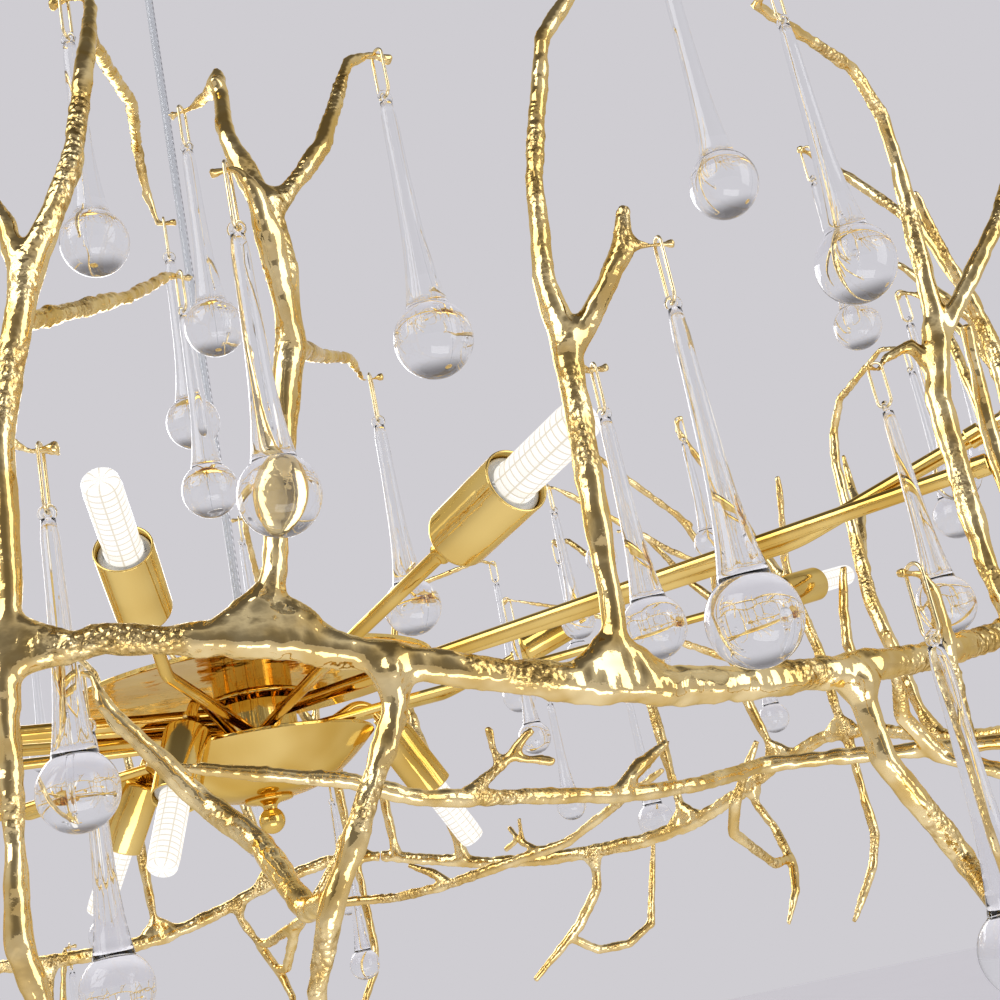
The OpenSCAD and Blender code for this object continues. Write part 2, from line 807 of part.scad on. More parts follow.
module branch_panel(k) {
    color(pale_gold)
        rotate([0, 0, panel_turn * (k - 1)])
            union() {
                ring_bar();
                left_post();
                star_post();
                fork_post();
                twin_post();
                seam_post();
                left_down_branch();
                middle_down_branch();
                right_down_branch();
                if (has_inner_twigs(k))
                    inner_twigs();
                if (k == facing_panels[0] || k == facing_panels[1])
                    single_twigs();
                if (!has_inner_twigs(k)) {
                    inner_bough();
                    arm_boss(arm_end(high_arm, arm_side), high_dir, [4.1, 106, 0]);
                    arm_boss(arm_end(low_arm, -arm_side), low_dir, [3.0, 88, 0]);
                }
            }
}

// Wire link: a long loop that hangs on the twig and holds the drop's eye
module link(place, axis) {
    r = (link_w + link_wire) / 2;
    straight = place[4] + neck_d / 2 + running_gap + link_wire / 2 - 2 * r;
    low = pivot(place);
    multmatrix([
        [axis.x, 0, -axis.y, low.x],
        [axis.y, 0, axis.x, low.y],
        [0, 1, 0, low.z]
    ]) {
        translate([0, r, 0])
            rotate([0, 0, 180])
                rotate_extrude(angle = 180)
                    translate([r, 0])
                        circle(d = link_wire);
        translate([0, r + straight, 0])
            rotate_extrude(angle = 180)
                translate([r, 0])
                    circle(d = link_wire);
        for (x = [-r, r])
            translate([x, r, 0])
                rotate([-90, 0, 0])
                    cylinder(d = link_wire, h = straight);
    }
}

paired_places = [
    [crown_a, crown_b, crown_axis],
    [post_a, post_b, post_axis],
    [fork_a, fork_b, fork_axis],
    [top_a, top_b, top_axis],
    [large_a, large_b, large_axis]
];
top_pair = 3;
single_places = [inner_a, side_a, outer_a, low_a, rim_a];
module drop_links() {
    color(pale_gold) {
        for (k = panel_numbers)
            rotate([0, 0, panel_turn * (k - 1)])
                for (pair = paired_places) {
                    link(pair[0], pair[2]);
                    if (has_inner_twigs(k) || pair == paired_places[top_pair])
                        link(pair[1], pair[2]);
                }
        for (k = facing_panels)
            rotate([0, 0, panel_turn * (k - 1)])
                for (place = single_places)
                    link(place, own_axis(place));
    }
}

// Glass drop: a ball drawn out into a stem that ends in an eye
eye_hole = 2.2;
eye_wall = 1.9;
module glass_drop(place, axis) {
    size = ball(place);
    ball_low = stem_ratio * size;
    eye_r = (eye_hole + eye_wall) / 2;
    eye_shift = eye_hole / 2 - link_wire / 2 - running_gap;
    // The stem widens from the eye to the ball along a curve
    top_r = eye_hole / 2 + eye_wall - 0.3;
    stem_top = -eye_shift - eye_r - eye_wall / 2 + 0.5;
    joint_angle = 35;
    joint_r = size / 2 * sin(joint_angle);
    joint_z = -ball_low + size / 2 * cos(joint_angle);
    steps = 6;
    flare = [
        for (i = [0:steps])
            let (t = i / steps)
            [top_r + (joint_r - top_r) * (0.3 * t + 0.7 * pow(t, 5)), stem_top + (joint_z - stem_top) * t]
    ];
    low = pivot(place);
    multmatrix([
        [axis.x, -axis.y, 0, low.x],
        [axis.y, axis.x, 0, low.y],
        [0, 0, 1, low.z]
    ]) {
        rotate_extrude()
            polygon(concat([[0, stem_top]], flare, [[0, joint_z]]));
        translate([0, 0, -ball_low])
            sphere(d = size);
        translate([0, 0, -eye_shift])
            rotate([0, 90, 0])
                rotate_extrude()
                    translate([eye_r, 0])
                        circle(d = eye_wall);
    }
}

module pair_of_drops(kind, k) {
    pair = paired_places[kind];
    color(clear)
        rotate([0, 0, panel_turn * (k - 1)]) {
            glass_drop(pair[0], pair[2]);
            if (has_inner_twigs(k) || kind == top_pair)
                glass_drop(pair[1], pair[2]);
        }
}

module facing_drops(kind) {
    place = single_places[kind];
    color(clear)
        for (k = facing_panels)
            rotate([0, 0, panel_turn * (k - 1)])
                glass_drop(place, own_axis(place));
}

ceiling_crossbar();
canopy();
canopy_screws();
suspension_wire();
supply_cord();
cord_grips();
hub_upper_plate();
hub_column();
hub_lower_dish();
finial();
cage_arms();
lamp_arms();
lamp_sleeves();
neck_screws();
lamp_sockets();
socket_screws();
bulbs();
for (k = panel_numbers)
    branch_panel(k);
drop_links();
for (kind = [0:len(drop_kinds) - 1])
    for (k = panel_numbers)
        pair_of_drops(kind, k);
facing_drops(0);  // inner_drops
facing_drops(1);  // side_drops
facing_drops(2);  // outer_drops
facing_drops(3);  // low_drops
facing_drops(4);  // rim_drops
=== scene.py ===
# Branch chandelier seen from below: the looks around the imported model, in metres
import math

import bmesh
import bpy
import numpy as np
from mathutils import Matrix, Vector


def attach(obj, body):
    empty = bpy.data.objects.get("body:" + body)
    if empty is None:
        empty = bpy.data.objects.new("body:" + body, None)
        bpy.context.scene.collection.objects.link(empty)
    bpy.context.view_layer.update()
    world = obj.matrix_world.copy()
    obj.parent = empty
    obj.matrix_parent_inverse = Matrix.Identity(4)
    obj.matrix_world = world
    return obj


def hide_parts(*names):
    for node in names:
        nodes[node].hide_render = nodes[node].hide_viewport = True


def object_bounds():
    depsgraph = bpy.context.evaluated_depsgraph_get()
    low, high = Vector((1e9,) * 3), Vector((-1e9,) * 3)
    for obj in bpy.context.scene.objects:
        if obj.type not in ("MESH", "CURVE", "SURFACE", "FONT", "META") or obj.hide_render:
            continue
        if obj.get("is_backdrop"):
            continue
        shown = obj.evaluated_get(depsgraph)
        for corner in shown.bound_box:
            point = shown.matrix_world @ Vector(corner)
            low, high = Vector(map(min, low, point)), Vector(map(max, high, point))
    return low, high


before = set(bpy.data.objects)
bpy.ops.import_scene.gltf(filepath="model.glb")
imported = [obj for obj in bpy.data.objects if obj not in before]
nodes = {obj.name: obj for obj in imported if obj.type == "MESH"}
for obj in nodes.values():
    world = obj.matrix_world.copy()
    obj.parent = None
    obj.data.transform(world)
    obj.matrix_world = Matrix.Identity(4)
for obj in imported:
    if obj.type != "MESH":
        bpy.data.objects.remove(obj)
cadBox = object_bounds()
scene = bpy.context.scene
mm = 0.001
ringRadius = 450 * mm
ringDrop = 800 * mm  # from the ceiling to the middle of the ring


def outDir(az):
    return Vector((math.sin(math.radians(az)), -math.cos(math.radians(az)), 0))


def cagePoint(az, height, outside):
    return outDir(az) * (ringRadius + outside * mm) + Vector((0, 0, height * mm - ringDrop))


# camera: a low, tilted look up through the near side of the cage
camera = {
    "place": (0.165, -0.838, -0.880),
    "pitch": 17.0,
    "roll": 11.8,
    "lens": 52.2,
}


def makeCamera():
    pitch, roll = math.radians(camera["pitch"]), math.radians(camera["roll"])
    forward = Vector((0, math.cos(pitch), math.sin(pitch)))
    level = Vector((1, 0, 0))
    up = Vector((0, -math.sin(pitch), math.cos(pitch)))
    right = level * math.cos(roll) - up * math.sin(roll)
    top = level * math.sin(roll) + up * math.cos(roll)
    data = bpy.data.cameras.new("camera")
    data.lens = camera["lens"]
    data.sensor_width = 36
    data.clip_start = 0.02
    data.clip_end = 60
    eye = bpy.data.objects.new("camera", data)
    turn = Matrix((right, top, -forward)).transposed().to_4x4()
    eye.matrix_world = Matrix.Translation(camera["place"]) @ turn
    scene.collection.objects.link(eye)
    scene.camera = eye


makeCamera()
print("camera stands")


# node trees: small helpers for materials and geometry
def addNode(tree, kind, values=None, **settings):
    node = tree.nodes.new(kind)
    for key, value in settings.items():
        setattr(node, key, value)
    for key, value in (values or {}).items():
        node.inputs[key].default_value = value
    return node


def feed(tree, socket, value):
    # the value is a number, a colour or the output of another node
    if isinstance(value, bpy.types.NodeSocket):
        tree.links.new(value, socket)
    elif isinstance(value, tuple):
        socket.default_value = (*value, 1)
    else:
        socket.default_value = value


def newMaterial(name):
    material = bpy.data.materials.new(name)
    material.use_nodes = True
    tree = material.node_tree
    tree.nodes.clear()
    shader = addNode(tree, "ShaderNodeBsdfPrincipled")
    output = addNode(tree, "ShaderNodeOutputMaterial")
    tree.links.new(shader.outputs[0], output.inputs[0])
    where = addNode(tree, "ShaderNodeTexCoord")
    return material, tree, shader, where


def setShader(tree, shader, values):
    for name, value in values.items():
        feed(tree, shader.inputs[name], value)


def noiseAt(tree, where, scale, detail, squeeze=None):
    source = where
    if squeeze:
        mapping = addNode(tree, "ShaderNodeMapping", {"Scale": squeeze})
        tree.links.new(where, mapping.inputs["Vector"])
        source = mapping.outputs[0]
    node = addNode(tree, "ShaderNodeTexNoise", {"Scale": scale, "Detail": detail})
    tree.links.new(source, node.inputs["Vector"])
    return node.outputs[0]


def spread(tree, value, low, high, fromLow=0.0, fromHigh=1.0):
    node = addNode(tree, "ShaderNodeMapRange", {1: fromLow, 2: fromHigh, 3: low, 4: high})
    node.interpolation_type = "SMOOTHSTEP"
    tree.links.new(value, node.inputs[0])
    return node.outputs[0]


def combine(tree, operation, one, other):
    node = addNode(tree, "ShaderNodeMath", operation=operation)
    feed(tree, node.inputs[0], one)
    feed(tree, node.inputs[1], other)
    return node.outputs[0]


def times(tree, one, other):
    return combine(tree, "MULTIPLY", one, other)


def plus(tree, one, other):
    return combine(tree, "ADD", one, other)


def minus(tree, one, other):
    return combine(tree, "SUBTRACT", one, other)


def larger(tree, one, other):
    return combine(tree, "MAXIMUM", one, other)


def mixColours(tree, share, first, second):
    node = addNode(tree, "ShaderNodeMix", data_type="RGBA")
    feed(tree, node.inputs[0], share)
    feed(tree, node.inputs[6], first)
    feed(tree, node.inputs[7], second)
    return node.outputs[2]


def clouded(tree, place, scale, detail, light, deep, squeeze=None):
    # two close tones in soft clouds
    tone = spread(tree, noiseAt(tree, place, scale, detail, squeeze), 0, 1, 0.3, 0.7)
    return mixColours(tree, tone, light, deep)


def bumpFrom(tree, height, strength, distance):
    node = addNode(tree, "ShaderNodeBump", {"Strength": strength, "Distance": distance})
    tree.links.new(height, node.inputs["Height"])
    return node.outputs[0]


# finishes: gold plate over a rough casting, polished gold tube, drawn glass and the rest
gold = {
    "edge": (0.95, 0.82, 0.52),  # tone of the plating where it is seen edge-on
    "light": (0.88, 0.65, 0.22),
    "deep": (0.66, 0.41, 0.08),
    "castLight": (0.92, 0.74, 0.38),
    "castDeep": (0.72, 0.50, 0.17),
    # painted shade: a dark brown that the pits of the casting turn to
    "pitShade": (0.40, 0.24, 0.06),
    "wireLight": (0.93, 0.80, 0.52),
    "wireDeep": (0.86, 0.70, 0.36),
}
casting = {
    "patchScale": 26.0,  # of the patches of pebbles, in the shape and in the finish
    "patchEdge": (0.49, 0.64),
    "grainScale": 520,
    "fineScale": 1400,
    "softScale": 170,
    "toneScale": 55,
    "relief": 0.0011,
}


def makeCastGold():
    # polished stretches between patches of fine pebbles, with painted shade darkening the pits
    material, tree, shader, where = newMaterial("castGold")
    place = where.outputs["Object"]
    patch = spread(tree, noiseAt(tree, place, casting["patchScale"], 3), 0, 1, *casting["patchEdge"])
    grainSizes = {"Scale": casting["grainScale"], "Smoothness": 0.55}
    grains = addNode(tree, "ShaderNodeTexVoronoi", grainSizes, feature="SMOOTH_F1")
    tree.links.new(place, grains.inputs["Vector"])
    pits = times(tree, grains.outputs["Distance"], patch)
    fine = times(tree, noiseAt(tree, place, casting["fineScale"], 2), spread(tree, patch, 0.03, 0.3))
    soft = times(tree, noiseAt(tree, place, casting["softScale"], 2), spread(tree, patch, 0.55, 0.9))
    height = plus(tree, times(tree, pits, -1.2), plus(tree, fine, soft))
    tone = spread(tree, noiseAt(tree, place, casting["toneScale"], 3), 0, 1, 0.35, 0.65)
    plate = mixColours(tree, tone, gold["castLight"], gold["castDeep"])
    setShader(tree, shader, {
        "Metallic": 1,
        "Specular Tint": gold["edge"],
        # the base colour darkens towards the pit colour in the deeper pits: painted shade
        "Base Color": mixColours(tree, spread(tree, pits, 0, 0.6, 0.3, 0.65), plate, gold["pitShade"]),
        "Roughness": spread(tree, patch, 0.05, 0.15),
        "Normal": bumpFrom(tree, height, 0.6, casting["relief"]),
    })
    return material


def makePolishedGold():
    material, tree, shader, where = newMaterial("polishedGold")
    place = where.outputs["Object"]
    wave = plus(tree, noiseAt(tree, place, 48, 2), times(tree, noiseAt(tree, place, 700, 2), 0.03))
    setShader(tree, shader, {
        "Metallic": 1,
        "Specular Tint": gold["edge"],
        "Base Color": clouded(tree, place, 18, 2, gold["light"], gold["deep"]),
        "Roughness": spread(tree, noiseAt(tree, place, 26, 4), 0.03, 0.10, 0.35, 0.7),
        "Normal": bumpFrom(tree, wave, 0.5, 0.0008),
    })
    return material


def makeWireGold():
    material, tree, shader, where = newMaterial("wireGold")
    place = where.outputs["Object"]
    setShader(tree, shader, {
        "Metallic": 1,
        "Base Color": clouded(tree, place, 120, 2, gold["wireLight"], gold["wireDeep"]),
        "Roughness": spread(tree, noiseAt(tree, place, 300, 2), 0.14, 0.26),
        "Normal": bumpFrom(tree, noiseAt(tree, place, 900, 2), 0.3, 0.0002),
    })
    return material


steel = {
    "screwTones": ((0.74, 0.74, 0.75), (0.58, 0.58, 0.60)),
    "screwRough": (0.14, 0.3),
    "barTones": ((0.62, 0.63, 0.65), (0.50, 0.51, 0.53)),
    "barRough": (0.25, 0.45),
    "strandTones": ((0.34, 0.34, 0.36), (0.70, 0.70, 0.72)),
}


def makeSteel(name, tones, rough):
    material, tree, shader, where = newMaterial(name)
    place = where.outputs["Object"]
    setShader(tree, shader, {
        "Metallic": 1,
        "Base Color": clouded(tree, place, 90, 2, *tones),
        "Roughness": spread(tree, noiseAt(tree, place, 240, 3), *rough),
        "Normal": bumpFrom(tree, noiseAt(tree, place, 800, 2), 0.3, 0.0002),
    })
    return material


def makeStrandWire():
    material, tree, shader, where = newMaterial("strandWire")
    strandSizes = {"Scale": 140, "Distortion": 0}
    strands = addNode(tree, "ShaderNodeTexWave", strandSizes, bands_direction="DIAGONAL")
    tree.links.new(where.outputs["Object"], strands.inputs["Vector"])
    bands = strands.outputs["Fac"]
    setShader(tree, shader, {
        "Metallic": 1,
        "Base Color": mixColours(tree, spread(tree, bands, 0, 1), *steel["strandTones"]),
        "Roughness": 0.25,
        "Normal": bumpFrom(tree, bands, 0.6, 0.0002),
    })
    return material


clear = {
    "glass": (0.985, 0.992, 1.0),
    "glassIndex": 1.5,
    "sheathTones": ((0.80, 0.83, 0.86), (0.70, 0.73, 0.76)),
    "sheathIndex": 1.46,
}


def makeGlass():
    material, tree, shader, where = newMaterial("clearGlass")
    drawn = noiseAt(tree, where.outputs["Object"], 70, 1, (1, 1, 0.25))
    setShader(tree, shader, {
        "Base Color": clear["glass"],
        "Roughness": 0.0,
        "IOR": clear["glassIndex"],
        "Transmission Weight": 1,
        "Normal": bumpFrom(tree, drawn, 0.25, 0.0012),
    })
    return material


def makeSheath():
    material, tree, shader, where = newMaterial("clearSheath")
    place = where.outputs["Object"]
    setShader(tree, shader, {
        "Base Color": clouded(tree, place, 60, 3, *clear["sheathTones"], (1, 1, 0.1)),
        "Roughness": 0.12,
        "IOR": clear["sheathIndex"],
        "Transmission Weight": 0.75,
        "Normal": bumpFrom(tree, noiseAt(tree, place, 160, 2), 0.15, 0.0006),
    })
    return material


def makeSocketGlaze():
    material, tree, shader, where = newMaterial("socketGlaze")
    place = where.outputs["Object"]
    setShader(tree, shader, {
        "Base Color": clouded(tree, place, 120, 3, (0.62, 0.62, 0.60), (0.46, 0.46, 0.45)),
        "Roughness": spread(tree, noiseAt(tree, place, 160, 3), 0.22, 0.42),
        "Coat Weight": 0.5,
        "Coat Roughness": 0.1,
        "Normal": bumpFrom(tree, noiseAt(tree, place, 500, 3), 0.2, 0.0003),
    })
    return material


bulbCover = {
    "cell": (1, 0.99, 0.96, 1),
    "nextCell": (0.95, 0.93, 0.88, 1),
    "grid": (0.70, 0.64, 0.52, 1),
    "gridWidth": 0.09,
    "rowHeight": 0.62,
    "plastic": (0.16, 0.15, 0.13),
    "glow": 0.86,
}


def makeBulbLight():
    # a frosted cover, lit from inside, with the grid of cells that shows through it
    material, tree, shader, where = newMaterial("bulbLight")
    cells = addNode(tree, "ShaderNodeTexBrick", {
        "Scale": 1,
        "Mortar Size": bulbCover["gridWidth"],
        "Mortar Smooth": 0.8,
        "Brick Width": 1,
        "Row Height": bulbCover["rowHeight"],
        "Color1": bulbCover["cell"],
        "Color2": bulbCover["nextCell"],
        "Mortar": bulbCover["grid"],
    })
    cells.offset = 0
    tree.links.new(where.outputs["UV"], cells.inputs["Vector"])
    cloudy = noiseAt(tree, where.outputs["Object"], 260, 2)
    setShader(tree, shader, {
        "Base Color": mixColours(tree, 0.75, cells.outputs["Color"], bulbCover["plastic"]),
        "Emission Color": cells.outputs["Color"],
        "Emission Strength": bulbCover["glow"],
        "Roughness": 0.12,
        "Coat Weight": 0.4,
        "Normal": bumpFrom(tree, cloudy, 0.15, 0.0005),
    })
    return material


castGold = makeCastGold()
polishedGold = makePolishedGold()
wireGold = makeWireGold()
clearGlass = makeGlass()
screwSteel = makeSteel("screwSteel", steel["screwTones"], steel["screwRough"])
barSteel = makeSteel("barSteel", steel["barTones"], steel["barRough"])
strandWire = makeStrandWire()
clearSheath = makeSheath()
socketGlaze = makeSocketGlaze()
bulbLight = makeBulbLight()
print("finishes mixed")


# meshes: every finished piece has its place in its mesh and its object at the origin
def newPiece(name, mesh, material=None):
    piece = bpy.data.objects.new(name, mesh)
    scene.collection.objects.link(piece)
    if material:
        mesh.materials.clear()
        mesh.materials.append(material)
    return piece


def tidyMesh(mesh, creaseAngle):
    work = bmesh.new()
    work.from_mesh(mesh)
    bmesh.ops.remove_doubles(work, verts=work.verts, dist=1e-7)
    bmesh.ops.recalc_face_normals(work, faces=work.faces)
    work.to_mesh(mesh)
    work.free()
    mesh.shade_smooth()
    mesh.set_sharp_from_angle(angle=math.radians(creaseAngle))


def spunMesh(name, profile, around, creaseAngle, uvScale=None):
    # profile: radius and height in millimetres, from one end of the axis to the other
    turns = [2 * math.pi * i / around for i in range(around)]
    verts = [
        (radius * mm * math.cos(a), radius * mm * math.sin(a), z * mm)
        for radius, z in profile for a in turns
    ]
    faces = []
    for k in range(len(profile) - 1):
        low, high = k * around, (k + 1) * around
        for i in range(around):
            j = (i + 1) % around
            faces.append((low + i, low + j, high + j, high + i))
    mesh = bpy.data.meshes.new(name)
    mesh.from_pydata(verts, [], faces)
    if uvScale:
        layer = mesh.uv_layers.new(name="wrap").data
        for k in range(len(profile) - 1):
            for i in range(around):
                corner = 4 * (k * around + i)
                low, high = profile[k][1] / uvScale[1], profile[k + 1][1] / uvScale[1]
                left, right = i * uvScale[0] / around, (i + 1) * uvScale[0] / around
                for step, place in enumerate(((left, low), (right, low), (right, high), (left, high))):
                    layer[corner + step].uv = place
    tidyMesh(mesh, creaseAngle)
    return mesh


def rounded(centre, radius, fromAngle, toAngle, steps):
    return [
        (centre[0] + radius * math.cos(math.radians(a)), centre[1] + radius * math.sin(math.radians(a)))
        for a in np.linspace(fromAngle, toAngle, steps + 1)
    ]


def along(place, direction):
    side = Vector((0, 0, 1)).cross(direction)
    side = side.normalized() if side.length > 0.001 else Vector((1, 0, 0))
    turn = Matrix((side, direction.cross(side), direction)).transposed().to_4x4()
    return Matrix.Translation(place) @ turn


# geometry trees
def newTree(name, sockets):
    tree = bpy.data.node_groups.new(name, "GeometryNodeTree")
    tree.interface.new_socket(name="Geometry", in_out="INPUT", socket_type="NodeSocketGeometry")
    for label, kind in sockets.items():
        tree.interface.new_socket(name=label, in_out="INPUT", socket_type=kind)
    tree.interface.new_socket(name="Geometry", in_out="OUTPUT", socket_type="NodeSocketGeometry")
    return tree, addNode(tree, "NodeGroupInput"), addNode(tree, "NodeGroupOutput")


def closeTree(tree, given, result, geometry):
    # every tree ends in plain geometry that wears its finish
    real = addNode(tree, "GeometryNodeRealizeInstances")
    finish = addNode(tree, "GeometryNodeSetMaterial")
    tree.links.new(geometry, real.inputs[0])
    tree.links.new(real.outputs[0], finish.inputs["Geometry"])
    tree.links.new(given.outputs["Finish"], finish.inputs["Material"])
    tree.links.new(finish.outputs[0], result.inputs[0])


def setInputs(modifier, values):
    for item in modifier.node_group.interface.items_tree:
        if item.in_out == "INPUT" and item.name in values:
            modifier[item.identifier] = values[item.name]


def grown(name, source, tree, values, material):
    # runs a tree on an object and keeps its result as a plain mesh
    modifier = source.modifiers.new("grow", "NODES")
    modifier.node_group = tree
    setInputs(modifier, {**values, "Finish": material})
    bpy.context.view_layer.update()
    shown = source.evaluated_get(bpy.context.evaluated_depsgraph_get())
    mesh = bpy.data.meshes.new_from_object(shown)
    mesh.name = name
    bpy.data.objects.remove(source)
    return newPiece(name, mesh, material)


def makeTubeTree():
    tree, given, result = newTree("tubeAlongPath", {
        "Radius": "NodeSocketFloat",
        "Sides": "NodeSocketInt",
        "Finish": "NodeSocketMaterial",
    })
    path = addNode(tree, "GeometryNodeMeshToCurve")
    ring = addNode(tree, "GeometryNodeCurvePrimitiveCircle")
    sweep = addNode(tree, "GeometryNodeCurveToMesh", {"Fill Caps": True})
    link = tree.links.new
    link(given.outputs["Geometry"], path.inputs[0])
    link(given.outputs["Sides"], ring.inputs["Resolution"])
    link(given.outputs["Radius"], ring.inputs["Radius"])
    link(path.outputs[0], sweep.inputs["Curve"])
    link(ring.outputs[0], sweep.inputs["Profile Curve"])
    closeTree(tree, given, result, sweep.outputs[0])
    return tree


def makeCopyTree():
    tree, given, result = newTree("copiesOnPlaces", {
        "Piece": "NodeSocketObject",
        "Finish": "NodeSocketMaterial",
    })
    piece = addNode(tree, "GeometryNodeObjectInfo")
    turn = addNode(tree, "GeometryNodeInputNamedAttribute", {"Name": "turn"}, data_type="FLOAT_VECTOR")
    spin = addNode(tree, "FunctionNodeEulerToRotation")
    placed = addNode(tree, "GeometryNodeInstanceOnPoints")
    link = tree.links.new
    link(given.outputs["Piece"], piece.inputs["Object"])
    link(given.outputs["Geometry"], placed.inputs["Points"])
    link(piece.outputs["Geometry"], placed.inputs["Instance"])
    link(turn.outputs[0], spin.inputs[0])
    link(spin.outputs[0], placed.inputs["Rotation"])
    closeTree(tree, given, result, placed.outputs[0])
    return tree


def makeSkinTree():
    # rounds the swept limbs and gives them the lumps and pebbles of the casting
    sizes = (
        "Ring Swell", "Twig Swell", "Ring Radius", "Ring Level", "Lump Scale", "Lump Height",
        "Ridge Height", "Pebble Scale", "Pebble Height", "Patch Scale",
    )
    tree, given, result = newTree("castSkin", {
        "Passes": "NodeSocketInt",
        **{size: "NodeSocketFloat" for size in sizes},
        "Finish": "NodeSocketMaterial",
    })
    link = tree.links.new
    place = addNode(tree, "GeometryNodeInputPosition").outputs[0]
    blur = addNode(tree, "GeometryNodeBlurAttribute", data_type="FLOAT_VECTOR")
    link(place, [s for s in blur.inputs if s.enabled and s.name == "Value"][0])
    link(given.outputs["Passes"], blur.inputs["Iterations"])
    smoothed = addNode(tree, "GeometryNodeSetPosition")
    link(given.outputs["Geometry"], smoothed.inputs["Geometry"])
    link([s for s in blur.outputs if s.enabled][0], smoothed.inputs["Position"])

    def noise(scaleSocket, detail, squeeze=None):
        vector = place
        if squeeze:
            stretch = addNode(tree, "ShaderNodeVectorMath", {1: squeeze}, operation="MULTIPLY")
            link(place, stretch.inputs[0])
            vector = stretch.outputs[0]
        node = addNode(tree, "ShaderNodeTexNoise", {"Detail": detail})
        link(vector, node.inputs["Vector"])
        link(given.outputs[scaleSocket], node.inputs["Scale"])
        return node.outputs[0]

    def centred(value):
        node = addNode(tree, "ShaderNodeMapRange", {1: 0.25, 2: 0.75, 3: -1.0, 4: 1.0})
        link(value, node.inputs[0])
        return node.outputs[0]

    def lengthOf(one, other):
        pair = addNode(tree, "ShaderNodeCombineXYZ")
        link(one, pair.inputs[0])
        link(other, pair.inputs[1])
        node = addNode(tree, "ShaderNodeVectorMath", operation="LENGTH")
        link(pair.outputs[0], node.inputs[0])
        return node.outputs["Value"]

    lumps = times(tree, centred(noise("Lump Scale", 2)), given.outputs["Lump Height"])
    ridges = centred(noise("Lump Scale", 1, (2.6, 2.6, 0.55)))
    ridges = times(tree, ridges, given.outputs["Ridge Height"])
    pebbles = addNode(tree, "ShaderNodeTexVoronoi", {"Smoothness": 0.5}, feature="SMOOTH_F1")
    link(place, pebbles.inputs["Vector"])
    link(given.outputs["Pebble Scale"], pebbles.inputs["Scale"])
    patch = spread(tree, noise("Patch Scale", 3), 0.05, 1, *casting["patchEdge"])
    rough = times(tree, times(tree, pebbles.outputs["Distance"], patch), given.outputs["Pebble Height"])
    rough = times(tree, rough, -1.0)
    # how far a point lies from the ring bar, which is fuller in the solids than the twigs are
    parts = addNode(tree, "ShaderNodeSeparateXYZ")
    link(place, parts.inputs[0])
    aside = minus(tree, lengthOf(parts.outputs[0], parts.outputs[1]), given.outputs["Ring Radius"])
    away = lengthOf(aside, minus(tree, parts.outputs[2], given.outputs["Ring Level"]))
    share = spread(tree, away, 0, 1, 0.026, 0.046)
    swell = addNode(tree, "ShaderNodeMix", data_type="FLOAT")
    link(share, swell.inputs[0])
    link(given.outputs["Ring Swell"], swell.inputs[2])
    link(given.outputs["Twig Swell"], swell.inputs[3])
    # twigs are thinner, so their lumps are lower
    uneven = times(tree, plus(tree, lumps, ridges), spread(tree, share, 1, 0.6))
    height = plus(tree, uneven, plus(tree, rough, swell.outputs[0]))
    push = addNode(tree, "ShaderNodeVectorMath", operation="SCALE")
    link(addNode(tree, "GeometryNodeInputNormal").outputs[0], push.inputs[0])
    link(height, push.inputs["Scale"])
    rise = addNode(tree, "GeometryNodeSetPosition")
    link(smoothed.outputs[0], rise.inputs["Geometry"])
    link(push.outputs[0], rise.inputs["Offset"])
    closeTree(tree, given, result, rise.outputs[0])
    return tree


tubeTree = makeTubeTree()
copyTree = makeCopyTree()
skinTree = makeSkinTree()


def tubes(name, paths, radius, sides, material):
    # paths: lists of points, a closed one ends on its first point
    verts, edges = [], []
    for path in paths:
        closed = (Vector(path[0]) - Vector(path[-1])).length < 1e-7
        points = path[:-1] if closed else path
        first = len(verts)
        verts += [tuple(p) for p in points]
        edges += [(first + i, first + i + 1) for i in range(len(points) - 1)]
        if closed:
            edges.append((first + len(points) - 1, first))
    mesh = bpy.data.meshes.new(name + "Path")
    mesh.from_pydata(verts, edges, [])
    source = newPiece(name + "Path", mesh)
    piece = grown(name, source, tubeTree, {"Radius": radius, "Sides": sides}, material)
    tidyMesh(piece.data, 50)
    return piece


def copies(name, pieceMesh, places, material):
    # places: matrices with no scale
    source = newPiece(name + "Source", pieceMesh)
    mesh = bpy.data.meshes.new(name + "Places")
    mesh.from_pydata([tuple(m.translation) for m in places], [], [])
    turn = mesh.attributes.new("turn", "FLOAT_VECTOR", "POINT")
    turn.data.foreach_set("vector", [v for m in places for v in m.to_euler()])
    spots = newPiece(name + "Places", mesh)
    piece = grown(name, spots, copyTree, {"Piece": source}, material)
    bpy.data.objects.remove(source)
    return piece


def joined(name, parts):
    work = bmesh.new()
    for part in parts:
        work.from_mesh(part.data)
    mesh = bpy.data.meshes.new(name)
    work.to_mesh(mesh)
    work.free()
    material = parts[0].data.materials[0]
    for part in parts:
        bpy.data.objects.remove(part)
    mesh.shade_smooth()
    return newPiece(name, mesh, material)


def standsFor(piece, body, node):
    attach(piece, body)
    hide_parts(node)


# wire and cord, both held taut between the hub and the canopy
suspension = {
    "foot": 112 * mm - ringDrop,
    "head": -15 * mm,
    "wire": 2 * mm,
    "wireSide": 5 * mm,
    "cord": 4.5 * mm,
    "cordSide": -5 * mm,
}


def makeSuspension():
    foot, head = suspension["foot"], suspension["head"]
    for name, line, node, material, slot, stiffness in (
        ("suspensionWire", "wire", "suspension_wire", strandWire, "steel", "stiff"),
        ("supplyCord", "cord", "supply_cord", clearSheath, "clear_sheath", "medium"),
    ):
        diameter, side = suspension[line], suspension[line + "Side"]
        path = [(0, side, z) for z in np.linspace(foot, head, 24)]
        piece = tubes(name, [path], diameter / 2, 20, material)
        standsFor(piece, "fixture", node)


makeSuspension()
print("wire and cord hang")


